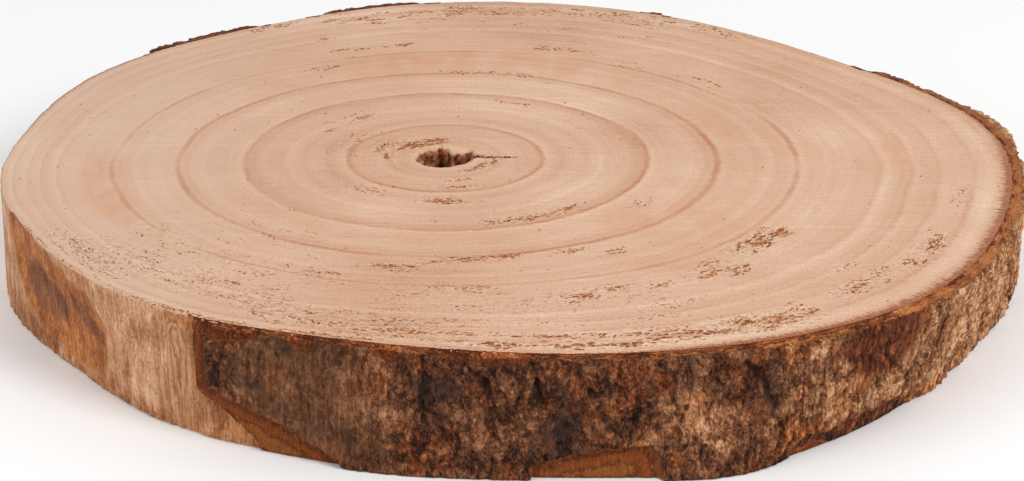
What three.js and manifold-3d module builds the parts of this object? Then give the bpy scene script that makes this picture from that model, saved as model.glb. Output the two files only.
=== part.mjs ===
// A slice sawn across a tree trunk, with most of its bark still on, lying on its flat underside.
// Millimetres, +Z up. The origin is under the middle of the slice, on the plane that it rests on.
// A place on the side is an angle about the pith, in degrees counter-clockwise from +X seen from above,
// and a height above the underside. The photographed side faces -Y, at 270 degrees.

import * as THREE from "three";
import { mergeVertices } from "three/addons/utils/BufferGeometryUtils.js";
import { ImprovedNoise } from "three/addons/math/ImprovedNoise.js";
import Module from "manifold-3d";

// The slice as a whole
const THICKNESS = 28;
const PITH = { x: -17.6, y: -4.9 };
const WOOD_COLOUR = 0xe2bc9e;

// The outline of the wood under its bark: a radius about the pith, and the lobes that the trunk grew.
const WOOD_RADIUS = 123.6;
const LOBES = [
  { waves: 1, reach: 15.3, towards: 14 },
  { waves: 2, reach: 3.1, towards: -53 },
  { waves: 3, reach: 2.8, towards: -31 },
  { waves: 4, reach: 0.3, towards: -23 },
  { waves: 5, reach: 1.4, towards: 12 },
  { waves: 6, reach: 0.9, towards: 12 },
  { waves: 8, reach: 0.6, towards: 9 },
];

// How far the trunk's side leans out between the sawn top and the underside.
const LEANS = [
  { at: 90, width: 50, out: -2 },
  { at: 222, width: 16, out: -3.3 },
  { at: 264, width: 9, out: 1.8 },
  { at: 297, width: 7, out: 2.8 },
  { at: 318, width: 14, out: -5 },
  { at: 334, width: 14, out: -5.5 },
];

// Dents in the side and, where deep is below zero, bumps on it.
const WOOD_MARKS = [
  { at: 214, height: 15, wide: 10, tall: 11, deep: 0.8 },
  { at: 240.3, height: 24, wide: 2.2, tall: 4, deep: -1.6 },
  { at: 236, height: 12, wide: 1.5, tall: 9, deep: 0.7 },
  { at: 150, height: 13, wide: 2, tall: 12, deep: 0.8 },
  { at: 76, height: 9, wide: 4, tall: 8, deep: -1 },
];
const BARK_MARKS = [
  { at: 314.5, height: 24, wide: 4.6, tall: 7, deep: 1.3 },
  { at: 302, height: 13, wide: 1.2, tall: 11, deep: 1.7 },
  { at: 288, height: 25, wide: 1, tall: 5, deep: 1.4 },
  { at: 337, height: 9, wide: 1.2, tall: 9, deep: 1.2 },
  { at: 12, height: 16, wide: 1.2, tall: 12, deep: 1.3 },
];

// The bark is an inner layer and, over it, an outer one. Both stop a little short of the sawn faces.
const WOOD_GRAIN = { thickness: 0, relief: 0.3, short: 0, columns: 200, rows: 5 };
const INNER_BARK = { thickness: 1.3, relief: 0.25, short: 0.6, columns: 180, rows: 8 };
const OUTER_BARK = { thickness: 3.2, relief: 1.5, short: 0.6, columns: 300, rows: 12 };

// Ridges, plates and scales: how wide and how tall each kind is, and its share of a layer's relief.
const RIDGES = [
  { wide: 9, tall: 26, share: 0.6 },
  { wide: 4.5, tall: 9, share: 0.9 },
  { wide: 2.4, tall: 5, share: 0.5 },
];

// Stretches of the side, from one angle to another, where the wood has lost all its bark.
const BARE_STRETCHES = [
  { from: 32, to: 63.5 },
  { from: 65.5, to: 94.5 },
  { from: 107.5, to: 116.5 },
  { from: 134.5, to: 244 },
];

// Places at the foot of the side, as [angle, height] corners, where bark has flaked away.
const BARE_FOOT = [[240, -2], [240, 11], [244.4, 10.4], [247.3, 6.2], [249.6, 2.8], [251.5, -2]];
const INNER_BARK_SHOWS = [
  [[240, -2], [240, 15], [243.8, 13.4], [245.5, 12.2], [249, 10.2], [254.4, 6.8], [258, 3], [262.5, -2]],
  [[280, -2], [279.5, 4.2], [284, 6.6], [287.5, 7.8], [290.6, 7], [291.3, 4], [291.3, -2]],
  [[303.5, -2], [305, 2.6], [308, 3.3], [311, 2.4], [314.5, 1.5], [317, 1.9], [319.5, -2]],
];

// How far a broken edge of bark wanders, in degrees and millimetres, over waves of about the given length.
// The two are read at different layers of the noise, so that they are unlike.
const STRETCH_EDGE = { angle: 3.2, height: 0, wave: 7 };
const FLAKE_EDGE = { angle: 0.7, height: 0.9, wave: 3.5 };
const ANGLE_LAYER = 0.5;
const HEIGHT_LAYER = 9.5;
const EDGE_STEP = 2.4;

// A cutter works between these radii, from inside the wood to outside the bark, and reaches a little past
// the sawn faces.
const CUT_INSIDE = 90;
const CUT_OUTSIDE = 165;
const OVERCUT = 3;

// The hollow pith, open at the sawn top and, less deeply, at the underside, and the crack that runs from it.
const HOLLOW = { radius: 7.2, columns: 30, rows: 4, floor: 0.55 };
const HOLLOW_LOBES = [
  { waves: 2, reach: 0.3, towards: 60 },
  { waves: 3, reach: 0.7, towards: 90 },
  { waves: 5, reach: 0.5, towards: 60 },
];
const HOLLOW_DEPTH = { top: 11, underside: 7 };
const CRACK = { depth: 6, corners: [[4, 1.6], [4, 0], [11, -0.5], [16.5, 0], [11, 0.4]] };

const wasm = await Module();
wasm.setup();
const noise = new ImprovedNoise();
const radians = THREE.MathUtils.degToRad;

// The signed angle from one direction to another, between -180 and 180 degrees.
function turn(from, to) {
  return THREE.MathUtils.euclideanModulo(to - from + 180, 360) - 180;
}

// The sum of a list of lobes in one direction.
function lobesAt(lobes, angle) {
  let sum = 0;
  for (const lobe of lobes) sum += lobe.reach * Math.cos(lobe.waves * radians(angle - lobe.towards));
  return sum;
}

// How far dents and bumps move the side inwards at one place: flat in the middle, with steep edges.
function marksAt(marks, angle, height) {
  let deep = 0;
  for (const mark of marks) {
    const across = turn(mark.at, angle) / mark.wide;
    const up = (height - mark.height) / mark.tall;
    deep += mark.deep * Math.exp(-((across ** 2 + up ** 2) ** 2));
  }
  return deep;
}

// The radius of the bare wood at one angle and height, before grain or marks.
function woodRadius(angle, height) {
  let lean = 0;
  for (const part of LEANS) lean += part.out * Math.exp(-((turn(part.at, angle) / part.width) ** 2));
  return WOOD_RADIUS + lobesAt(LOBES, angle) + lean * (1 - height / THICKNESS);
}

// Ridges and plates that run up the trunk, read at the place in space so that they close round the side.
function ridgesAt(radius, angle, height) {
  const x = radius * Math.cos(radians(angle));
  const y = radius * Math.sin(radians(angle));
  let relief = 0;
  for (const kind of RIDGES) {
    relief += kind.share * noise.noise(x / kind.wide, y / kind.wide, height / kind.tall);
  }
  return relief;
}

// A closed solid from a geometry whose faces share their corners.
function solid(geometry) {
  geometry.deleteAttribute("normal");
  geometry.deleteAttribute("uv");
  const merged = mergeVertices(geometry, 1e-4);
  const vertProperties = merged.attributes.position.array;
  const triVerts = new Uint32Array(merged.index.array);
  return new wasm.Manifold(new wasm.Mesh({ numProp: 3, vertProperties, triVerts }));
}

// A solid from a cylinder of radius 1 whose side is pushed out to shape(angle, height), between two heights.
function barrel(columns, rows, bottom, top, shape) {
  const geometry = new THREE.CylinderGeometry(1, 1, top - bottom, columns, rows);
  geometry.rotateX(Math.PI / 2);
  geometry.translate(0, 0, (top + bottom) / 2);
  const corners = geometry.attributes.position;
  for (let i = 0; i < corners.count; i++) {
    const x = corners.getX(i);
    const y = corners.getY(i);
    const height = corners.getZ(i);
    const radius = shape(THREE.MathUtils.radToDeg(Math.atan2(y, x)), height);
    corners.setXYZ(i, x * radius, y * radius, height);
  }
  return solid(geometry);
}

// The trunk out to one of its layers: bare wood, inner bark or outer bark.
function trunk(layer, marks) {
  const shape = (angle, height) => {
    const radius = woodRadius(angle, height) + layer.thickness;
    return radius + layer.relief * ridgesAt(radius, angle, height) - marksAt(marks, angle, height);
  };
  return barrel(layer.columns, layer.rows, layer.short, THICKNESS - layer.short, shape);
}

// Bends a flat cutter round the side, with a broken edge: across is its angle, up its height and depth
// its radius.
function wrapRound(geometry, edge) {
  const corners = geometry.attributes.position;
  for (let i = 0; i < corners.count; i++) {
    const at = corners.getX(i);
    const up = corners.getY(i);
    const radius = corners.getZ(i);
    const angle = radians(at + edge.angle * noise.noise(at / edge.wave, up / edge.wave, ANGLE_LAYER));
    const height = up + edge.height * noise.noise(at / edge.wave, up / edge.wave, HEIGHT_LAYER);
    corners.setXYZ(i, radius * Math.cos(angle), radius * Math.sin(angle), height);
  }
  return solid(geometry);
}

// A cutter for a whole stretch of the side, from underside to top.
function stretchCutter({ from, to }) {
  const tall = THICKNESS + 2 * OVERCUT;
  const columns = Math.ceil((to - from) / EDGE_STEP);
  const rows = Math.ceil(tall / EDGE_STEP);
  const geometry = new THREE.BoxGeometry(to - from, tall, CUT_OUTSIDE - CUT_INSIDE, columns, rows, 1);
  geometry.translate((from + to) / 2, THICKNESS / 2, (CUT_INSIDE + CUT_OUTSIDE) / 2);
  return wrapRound(geometry, STRETCH_EDGE);
}

// A cutter for a flaked place with the given corners.
function flakeCutter(corners) {
  const outline = [];
  corners.forEach((corner, i) => {
    const from = new THREE.Vector2(...corner);
    const to = new THREE.Vector2(...corners[(i + 1) % corners.length]);
    const steps = Math.ceil(from.distanceTo(to) / EDGE_STEP);
    for (let k = 0; k < steps; k++) outline.push(from.clone().lerp(to, k / steps));
  });
  const depth = CUT_OUTSIDE - CUT_INSIDE;
  const geometry = new THREE.ExtrudeGeometry(new THREE.Shape(outline), { depth, bevelEnabled: false });
  geometry.translate(0, 0, CUT_INSIDE);
  return wrapRound(geometry, FLAKE_EDGE);
}

// One layer of bark, cut away where the trunk has lost it.
function bark(layer, flakes) {
  let left = trunk(layer, BARK_MARKS);
  for (const stretch of BARE_STRETCHES) left = left.subtract(stretchCutter(stretch));
  for (const corners of [BARE_FOOT, ...flakes]) left = left.subtract(flakeCutter(corners));
  return left;
}

// The empty pith from one sawn face down to a narrower floor.
function hollow(face, floor) {
  const mouth = face + OVERCUT * Math.sign(face - floor);
  const shape = (angle, height) => {
    const open = (height - floor) / (face - floor);
    const narrowing = HOLLOW.floor + (1 - HOLLOW.floor) * Math.sqrt(Math.min(open, 1));
    return (HOLLOW.radius + lobesAt(HOLLOW_LOBES, angle)) * narrowing;
  };
  return barrel(HOLLOW.columns, HOLLOW.rows, Math.min(mouth, floor), Math.max(mouth, floor), shape);
}

// The drying crack beside the pith.
function crack() {
  const shape = new THREE.Shape(CRACK.corners.map(([x, y]) => new THREE.Vector2(x, y)));
  const geometry = new THREE.ExtrudeGeometry(shape, { depth: CRACK.depth + OVERCUT, bevelEnabled: false });
  geometry.translate(0, 0, THICKNESS - CRACK.depth);
  return solid(geometry);
}

// The whole slice in one piece, as it grew: wood, the bark left on it, and the hollows at the pith.
function woodSlice() {
  const slice = trunk(WOOD_GRAIN, WOOD_MARKS)
    .add(bark(INNER_BARK, []))
    .add(bark(OUTER_BARK, INNER_BARK_SHOWS))
    .subtract(hollow(THICKNESS, THICKNESS - HOLLOW_DEPTH.top))
    .subtract(hollow(0, HOLLOW_DEPTH.underside))
    .subtract(crack());
  const { vertProperties, triVerts } = slice.getMesh();
  const geometry = new THREE.BufferGeometry();
  geometry.setAttribute("position", new THREE.BufferAttribute(vertProperties, 3));
  geometry.setIndex(new THREE.BufferAttribute(triVerts, 1));
  geometry.computeVertexNormals();
  const material = new THREE.MeshStandardMaterial({ color: WOOD_COLOUR, roughness: 0.8, metalness: 0 });
  const mesh = new THREE.Mesh(geometry, material);
  mesh.name = "wood_slice";
  mesh.position.set(PITH.x, PITH.y, 0);
  return mesh;
}

const slice = new THREE.Group();
slice.add(woodSlice());

export default slice;
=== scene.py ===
# The looks of a sawn wood slice, built round its solid model. Lengths are named in millimetres, as in the
# solid's own source, and turned into Blender's metres when a mesh is made.
# A place on the side is an angle about the pith, in degrees counter-clockwise from +X seen from above, and
# a height above the underside. Growth is the distance from the pith that a place would have in a round
# trunk: its lines are the growth rings, which follow the lobed outline near the rim.

import math

import bpy
import numpy as np
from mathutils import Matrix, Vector


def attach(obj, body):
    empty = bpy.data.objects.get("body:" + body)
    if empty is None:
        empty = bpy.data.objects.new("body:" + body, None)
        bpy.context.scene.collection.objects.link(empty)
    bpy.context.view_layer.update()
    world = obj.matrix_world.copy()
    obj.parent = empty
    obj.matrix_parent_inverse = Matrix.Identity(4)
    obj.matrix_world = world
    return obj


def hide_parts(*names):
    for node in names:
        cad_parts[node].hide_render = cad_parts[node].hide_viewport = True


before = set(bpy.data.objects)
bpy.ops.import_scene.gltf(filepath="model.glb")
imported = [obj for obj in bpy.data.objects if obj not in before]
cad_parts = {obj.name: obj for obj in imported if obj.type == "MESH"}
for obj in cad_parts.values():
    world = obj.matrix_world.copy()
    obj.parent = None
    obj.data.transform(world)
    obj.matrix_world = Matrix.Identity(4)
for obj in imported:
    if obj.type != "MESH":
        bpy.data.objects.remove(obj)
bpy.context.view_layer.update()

MM = 0.001

# The slice as a whole
PITH = np.array([-17.6, -4.9])
THICKNESS = 28.0
WOOD_RADIUS = 123.6
# The lobes of the outline: how many waves go round, how far out they reach, and towards which angle.
LOBES = [(1, 15.3, 14), (2, 3.1, -53), (3, 2.8, -31), (4, 0.3, -23), (5, 1.4, 12), (6, 0.9, 12), (8, 0.6, 9)]
# Where the side leans: the angle, how wide, and how far the foot stands out, or in where below 0.
LEANS = [(90, 50, -2), (222, 16, -3.3), (264, 9, 1.8), (297, 7, 2.8), (318, 14, -5), (334, 14, -5.5)]
# How late, on the way out, the round growth rings take on the lobed outline.
RING_ROUNDNESS = 3.5
MM_PER_DEGREE = WOOD_RADIUS * math.pi / 180
# A direction in which the bark is gone, where distances round the slice start.
SEAM = 80
# Distances from an edge are counted up to this far, in mm.
FAR = 9.0

# Bark: how thick each layer is, the stretches (from, to) that have lost it, the foot that is bare beyond
# the last of them, and the outlines in which the outer layer alone is gone.
INNER_BARK = 1.3
OUTER_BARK = 3.2
BARE_STRETCHES = [(32, 63.5), (65.5, 94.5), (107.5, 116.5), (134.5, 242.6)]
BARE_FOOT = [(236, -4), (236, 11), (242.6, 11.4), (244.4, 9.4), (247.3, 6.2), (249.6, 2.8), (252, -4)]
INNER_SHOWS = [
    [(236, -4), (236, 30), (244.2, 30), (244.6, 22), (243.9, 13.4), (245.5, 12.2), (249, 10.2), (254.4, 6.8),
     (258, 3), (263, -4)],
    [(280, -4), (279.5, 2.6), (281.5, 4.0), (284, 5.8), (287.5, 7.4), (290.6, 7.3), (291.5, 4.6),
     (291.3, -4)],
    [(303.5, -4), (304.6, 1.2), (306.4, 1.7), (308.6, 1.1), (311, -4)],
]
CHIPPED_TOP = [
    # where the outer bark has broken off below the sawn top: the angle, how far to each side and how deep
    (247, 4.2, 3.0), (256, 1.6, 2.8), (265.5, 1.8, 2.6), (275.5, 4.6, 1.9), (337, 1.5, 1.6),
]
# Near the end of the last bare stretch, within so many degrees, the bark's edge wanders only this share.
CLEAN_BREAK = BARE_STRETCHES[-1][1]
CLEAN_REACH = 8
CLEAN_SHARE = 0.2
# How far the bark's top edge is worn down, at the front of the slice and at its back.
WORN_FRONT = 1.15
WORN_BACK = 0.25


# Noise in numpy


def scramble(x, y, z, seed):
    """A repeatable random whole number for each lattice point."""
    h = (x * 374761393 + y * 668265263 + z * 1440662683 + seed * 3266489917) & 0xFFFFFFFF
    h = ((h ^ (h >> 13)) * 1274126177) & 0xFFFFFFFF
    return h ^ (h >> 16)


def noise(points, scale, seed=0):
    """Gradient noise from about -1 to 1 at points (N, 3), with features of that size (x, y, z) in mm."""
    p = points / np.asarray(scale, float)
    cell = np.floor(p).astype(np.int64)
    part = p - cell
    ease = part * part * part * (part * (part * 6 - 15) + 10)
    total = np.zeros(len(p))
    for dx in (0, 1):
        for dy in (0, 1):
            for dz in (0, 1):
                h = scramble(cell[:, 0] + dx, cell[:, 1] + dy, cell[:, 2] + dz, seed)
                gx = (h & 1023) / 511.5 - 1
                gy = ((h >> 10) & 1023) / 511.5 - 1
                gz = ((h >> 20) & 1023) / 511.5 - 1
                dot = gx * (part[:, 0] - dx) + gy * (part[:, 1] - dy) + gz * (part[:, 2] - dz)
                wx = ease[:, 0] if dx else 1 - ease[:, 0]
                wy = ease[:, 1] if dy else 1 - ease[:, 1]
                wz = ease[:, 2] if dz else 1 - ease[:, 2]
                total += wx * wy * wz * dot
    return total * 1.4


def fractal(points, scale, seed=0, octaves=3):
    """Noise with finer and finer detail on top."""
    total = np.zeros(len(points))
    scale = np.asarray(scale, float)
    for i in range(octaves):
        total += noise(points, scale / 2**i, seed + i) / 2**i
    return total


def cells(points, scale, seed=0):
    """The cells round scattered points: how far inside its cell a point lies, the cell's random value from 0
    to 1, and how far the cell's own point is above."""
    p = points / np.asarray(scale, float)
    home = np.floor(p).astype(np.int64)
    near = np.full(len(p), 9.0)
    second = np.full(len(p), 9.0)
    value = np.zeros(len(p))
    above = np.zeros(len(p))
    for dx in (-1, 0, 1):
        for dy in (-1, 0, 1):
            for dz in (-1, 0, 1):
                c = home + np.array([dx, dy, dz])
                h = scramble(c[:, 0], c[:, 1], c[:, 2], seed)
                away = c + np.stack([h & 1023, (h >> 10) & 1023, (h >> 20) & 1023], 1) / 1023.0 - p
                d = np.linalg.norm(away, axis=1)
                closer = d < near
                second = np.where(closer, near, np.minimum(second, d))
                value = np.where(closer, ((h >> 7) & 255) / 255.0, value)
                above = np.where(closer, away[:, 2], above)
                near = np.where(closer, d, near)
    return second - near, value, above


def step(low, high, x):
    """0 at low, 1 at high and a smooth change between; low may be the larger."""
    t = np.clip((x - low) / (high - low), 0, 1)
    return t * t * (3 - 2 * t)


def turn(start, end):
    """The signed angle from start to end, between -180 and 180 degrees."""
    return (end - start + 180) % 360 - 180


def hump(angle, height, at, up, wide, tall):
    """1 at a place on the side, falling to 0 outside an oval of that size."""
    d = (turn(at, angle) / wide) ** 2 + ((height - up) / tall) ** 2
    return np.exp(-(d**2))


def humps(places, angle, height):
    """Several humps together, each led by how strong it is."""
    return sum(much * hump(angle, height, *oval) for much, *oval in places)


# The shape of the trunk


def rim(angle):
    """The radius of the wood's top edge about the pith."""
    radius = np.full(np.shape(angle), WOOD_RADIUS)
    for waves, reach, towards in LOBES:
        radius = radius + reach * np.cos(waves * np.radians(angle - towards))
    return radius


def wood_radius(angle, height):
    """The radius of the wood under its bark."""
    lean = sum(out * np.exp(-((turn(at, angle) / width) ** 2)) for at, width, out in LEANS)
    return rim(angle) + lean * (1 - height / THICKNESS)


def radius_of_growth(growth, angle):
    """The distance from the pith of a growth ring in one direction."""
    share = np.clip(growth / WOOD_RADIUS, 0, None) ** RING_ROUNDNESS
    return growth * (1 + share * (rim(angle) / WOOD_RADIUS - 1))


def place(angle, radius, height):
    """Points (N, 3) in the slice's own frame, in mm."""
    a = np.radians(angle)
    x = PITH[0] + radius * np.cos(a)
    y = PITH[1] + radius * np.sin(a)
    return np.stack([x, y, height + np.zeros_like(a)], 1)


def side_place(points):
    """The angles and heights of points (N, 3)."""
    x = points[:, 0] - PITH[0]
    y = points[:, 1] - PITH[1]
    return np.degrees(np.arctan2(y, x)) % 360, points[:, 2]


def way_round(angle):
    """The distance round the slice, in mm, from the seam."""
    return (angle - SEAM) % 360 * MM_PER_DEGREE


def degrees_past(start, end, angle):
    """How many degrees past either end of a stretch an angle is; below 0 inside it."""
    return np.abs(turn((start + end) / 2, angle)) - (end - start) / 2


def inside_by(outline, angle, height):
    """How far, in mm, places on the side lie inside an outline of (angle, height) corners; else below 0."""
    corners = np.array(outline, float) * [MM_PER_DEGREE, 1]
    middle = outline[0][0]
    x = (middle + turn(middle, angle)) * MM_PER_DEGREE
    distance = np.full(x.shape, 1e9)
    inside = np.zeros(x.shape, bool)
    for (ax, ay), (bx, by) in zip(corners, np.roll(corners, -1, 0)):
        reach = ((x - ax) * (bx - ax) + (height - ay) * (by - ay)) / ((bx - ax) ** 2 + (by - ay) ** 2)
        along = np.clip(reach, 0, 1)
        away = np.hypot(x - ax - along * (bx - ax), height - ay - along * (by - ay))
        distance = np.minimum(distance, away)
        crosses = (ay > height) != (by > height)
        inside ^= crosses & (x < ax + (height - ay) * (bx - ax) / (by - ay + 1e-12))
    return np.where(inside, distance, -distance)


def frontness(angle):
    """1 at the front of the slice, towards -Y, and 0 at its back."""
    return step(0.15, -0.5, np.sin(np.radians(angle)))


def chipped_by(angle):
    """How far below the sawn top, in mm, the outer bark has broken off; below 0 where it is whole."""
    spot = place(angle, WOOD_RADIUS, 0)
    depth = 0.8 * noise(spot, (6, 6, 1), 45) + 0.5 * noise(spot, (1.8, 1.8, 1), 46)
    depth = depth - 0.8 + 0.55 * frontness(angle)
    for at, wide, down in CHIPPED_TOP:
        depth = depth + down * np.exp(-((turn(at, angle) / wide) ** 4))
    return depth


def bark_cover(angle, height):
    """How far, in mm, places on the side lie inside the inner and the outer bark that is left."""
    spot = place(angle, WOOD_RADIUS, height)
    wander = 2.2 * noise(spot, (8, 8, 9), 41) + 0.9 * noise(spot, (2.6, 2.6, 3.2), 42)
    wander = wander * (1 + 1.4 * (1 - height / THICKNESS))
    flaking = 0.7 * noise(spot, (3, 3, 2.4), 43) + 0.35 * noise(spot, (1.1, 1.1, 1.1), 44)
    inner = np.full(angle.shape, 1e9)
    calm = np.where(np.abs(turn(CLEAN_BREAK, angle)) < CLEAN_REACH, CLEAN_SHARE, 1.0)
    for start, end in BARE_STRETCHES:
        inner = np.minimum(inner, degrees_past(start, end, angle) * MM_PER_DEGREE + wander * calm)
    inner = np.minimum(inner, -inside_by(BARE_FOOT, angle, height) + flaking)
    outer = np.minimum(inner - 0.6, THICKNESS - height - chipped_by(angle))
    for outline in INNER_SHOWS:
        outer = np.minimum(outer, -inside_by(outline, angle, height) + flaking)
    return inner, outer


# Meshes from loops round the pith

# The layout of the textures, in shares of their width: the size and the corner of the disc that shows
# each sawn face, how far from the pith a disc reaches, and how many strips each side is cut into.
DISC_REACH = WOOD_RADIUS + 22
TOP_DISC = (0.66, 0.005, 0.335)
UNDER_DISC = (0.32, 0.675, 0.67)
WOOD_STRIPS = 3
BARK_STRIPS = 6


class Loops:
    """Loops of points round the pith, one inside or above the other, with marks for each point."""

    def __init__(self, angles):
        self.angles = angles
        self.points = []
        self.marks = []

    def add(self, radius, height, *marks):
        self.points.append(place(self.angles, radius, height))
        self.marks.append([np.zeros(self.angles.size) + mark for mark in marks])


def loop_quads(rows, columns, rows_close=False):
    """The corners of the quads between loops, as rows and columns, counted on past the last."""
    i, j = np.meshgrid(np.arange(rows if rows_close else rows - 1), np.arange(columns), indexing="ij")
    i = i.ravel()
    j = j.ravel()
    return np.stack([i, i + 1, i + 1, i], 1), np.stack([j, j, j + 1, j + 1], 1)


def disc_uv(points, size=1.0, u=0.0, v=0.0):
    """The places of points in the part of the layout that shows a sawn face."""
    return ((points[:, :2] - PITH) / (2 * DISC_REACH) + 0.5) * size + [u, v]


def strip_uv(column, columns, strips):
    """Which strip of the layout the corners of the side's quads are in, and how far along it."""
    length = columns / strips
    strip = column.min(1, keepdims=True) // length
    return strip, 0.003 + 0.99 * (column - strip * length) / (length + 1)


def make_mesh(name, points, faces, values, uvs):
    """An object from points in mm, faces as lists of corners, values by point and UVs by face corner."""
    mesh = bpy.data.meshes.new(name)
    mesh.from_pydata((points * MM).tolist(), [], faces)
    for key, value in values.items():
        mesh.attributes.new(key, "FLOAT", "POINT").data.foreach_set("value", np.asarray(value, np.float32))
    layer = mesh.uv_layers.new(name="OFBake")
    layer.data.foreach_set("uv", np.asarray(uvs, np.float32).ravel())
    mesh.polygons.foreach_set("use_smooth", np.ones(len(mesh.polygons), bool))
    mesh.validate()
    mesh.update()
    piece = bpy.data.objects.new(name, mesh)
    bpy.context.scene.collection.objects.link(piece)
    return piece


# The wood

WOOD_COLUMNS = 680
BARE_DENSITY = 2.2
TOP = 1
SIDE = 2
UNDER = 3

# The hollow pith: its mouth in the sawn top as (angle, radius), with a tongue of wood left in it near 68
# degrees, and the degrees over which its corners are eased. Then its depth and the number of loops down its
# wall, on its floor and round it on the sawn top.
MOUTH = [(2, 7.6), (25, 8.3), (44, 8.5), (55, 5.4), (66, 3.4), (78, 5.4), (92, 8.8), (110, 8.2), (130, 7.2),
         (173, 7.5), (211, 7.2), (259, 7.1), (290, 6.3), (323, 6.4)]
MOUTH_EASE = 4
HOLLOW_DEPTH = 10.5
WALL_LOOPS = 14
FLOOR_LOOPS = 4
NEAR_LOOPS = 16
NEAR_END = 20.0
UNDER_MOUTH = 7.2
UNDER_HOLLOW_DEPTH = 6.8
UNDER_WALL_SHARES = (0.1, 0.3, 0.6, 1.0)
UNDER_FLOOR_SHARES = (0.7, 0.35)
CRACK_END = 18.0

TOP_LOOPS = 48
SIDE_LOOPS = 34
UNDER_LOOPS = 14
ARRIS = 0.25
# The level that the top's saw marks wander about, and how far the wood stands out under the bark.
FACE_LEVEL = THICKNESS - 0.05
WOOD_UNDER_BARK = 0.55

# Marks on the bare side: the knot's place, its size and how fast its curls close below it, the torn
# strands under it, the outline of the brown scar and the darker cores inside it.
KNOT = (240.2, 23.6)
KNOT_SIZE = (1.7, 3.6)
KNOT_TRAIL = 0.12
TORN_STRANDS = (240.5, 13, 4.0, 15)
STRANDS_SHOWN = (240, 13, 3.8, 13)
SCAR = [(200, 29), (207, 29), (217.5, 25.6), (225, 22), (228, 17), (227.6, 11), (226, 5), (219, 3.4),
        (210, 6), (204.5, 9.2), (201.5, 16), (200, 22)]
SCAR_CORES = [
    [(205, 17), (208.5, 22.4), (212.7, 20.6), (218, 17.6), (217, 11), (214, 9.4), (208.8, 8.6), (206, 11.5)],
    [(219, 21.5), (223, 19.5), (227.2, 14.5), (226.4, 11.5), (222, 13.6), (219.4, 17)],
    [(202.6, 22.8), (204.4, 22.6), (204.6, 19.6), (203, 20)],
]
# Stains on the bare side: how strong, the angle, the height, and how wide and tall.
STAINS = [
    (0.9, 203, 2, 12, 7), (0.6, 198, 16, 4, 12), (0.6, 220, 26, 10, 3), (0.9, 222, 2, 12, 5),
    (0.4, 232, 12, 4, 10), (0.9, 238.5, 27, 2.6, 2), (0.8, 243, 27, 2, 2), (0.5, 236, 22, 3, 4),
    (0.6, 236, 1, 7, 3), (0.5, 150, 16, 8, 10), (0.4, 80, 10, 10, 10), (0.5, 48, 20, 7, 8),
    (0.5, 170, 8, 9, 7), (1.0, 246, 4, 4.5, 8), (1.0, 240, 28, 5, 2.4),
]
# The sawn wood's warmer patches: growth, how far across the rings, angle, how far round, and how strong.
WARM_PATCHES = [
    (76, 9, 82, 40, 0.9), (60, 9, 322, 22, 0.7), (80, 9, 325, 18, 0.6), (88, 6, 196, 20, 1.0),
    (72, 5, 8, 14, 0.9), (92, 6, 4, 7, 0.6), (103, 4, 3, 8, 0.6), (55, 5, 250, 30, 0.35),
    (104, 6, 170, 20, 0.4), (44, 5, 185, 30, 0.4),
]
# It fades to a greyer tan between these two places along X.
FADED_FROM = -30
FADED_TO = -110
# The angle at which the sawn wood's edge is raggedest against the bark, and the bare stretch whose edge
# is stained.
SHAGGIEST = 328
STAINED_EDGE = 152


def wood_angles():
    """Angles of the wood's columns, closer together where the side is bare."""
    fine = np.linspace(0, 360, 7201)
    inner, _ = bark_cover(fine, np.full(fine.shape, THICKNESS / 2))
    density = 1 + (BARE_DENSITY - 1) * step(3, -3, inner)
    reached = np.concatenate([[0], np.cumsum(density[:-1])])
    return np.interp(np.arange(WOOD_COLUMNS) / WOOD_COLUMNS * reached[-1], reached, fine)


def mouth_radius(angle):
    """The ragged edge of the hollow pith in the sawn top."""
    at, out = np.array(MOUTH, float).T
    sides = [np.interp(angle + ease, at, out, period=360) for ease in (-MOUTH_EASE, 0, MOUTH_EASE)]
    spot = place(angle, sides[1], 0)
    ragged = 0.5 * noise(spot, (1.7, 1.7, 1), 51) + 0.3 * noise(spot, (0.6, 0.6, 1), 52)
    return (sides[0] + sides[1] + sides[2]) / 3 + ragged


def crack_depth(x, y):
    """The depth of the drying crack that runs from the hollow, x and y from the pith."""
    spot = np.stack([x, y, np.zeros_like(x)], 1)
    off = np.abs(y - 1.3 + 0.09 * (x - 7) + 0.5 * noise(spot, (2.2, 50, 1), 53))
    half = 0.5 + 0.6 * step(CRACK_END, 7, x)
    return 4 * step(4, 6, x) * step(CRACK_END, 15, x) * step(half + 0.15, half * 0.4, off)


def side_grain(angles):
    """A function of height that gives the radius of the wood's side, with fibres, a scar and a knot."""
    inner, _ = bark_cover(angles, np.full(angles.shape, THICKNESS))
    covered = step(0.3, 1.6, inner)

    def radius(height):
        heights = np.full(angles.shape, float(height))
        base = wood_radius(angles, heights)
        spot = place(angles, base, heights)
        relief = 0.35 * noise(spot, (7, 7, 30), 71) + 0.16 * noise(spot, (1.6, 1.6, 14), 72)
        relief += 0.14 * noise(spot, (0.8, 0.8, 4), 73)
        foot = step(2.6, 0.2, heights)
        relief += foot * (0.7 * noise(spot, (0.9, 0.9, 1.3), 76) - 0.1)
        torn = hump(angles, heights, *TORN_STRANDS)
        relief += torn * (0.9 * noise(spot, (1.1, 1.1, 22), 74) - 0.1)
        curls = 0.9 + 0.5 * noise(spot, (1, 1, 1.4), 75)
        relief += hump(angles, heights, *KNOT, *KNOT_SIZE) * curls
        relief -= 0.8 * step(-1, 3, inside_by(SCAR, angles, heights))
        return base + relief * (1 - covered) + WOOD_UNDER_BARK * covered
    return radius


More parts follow.
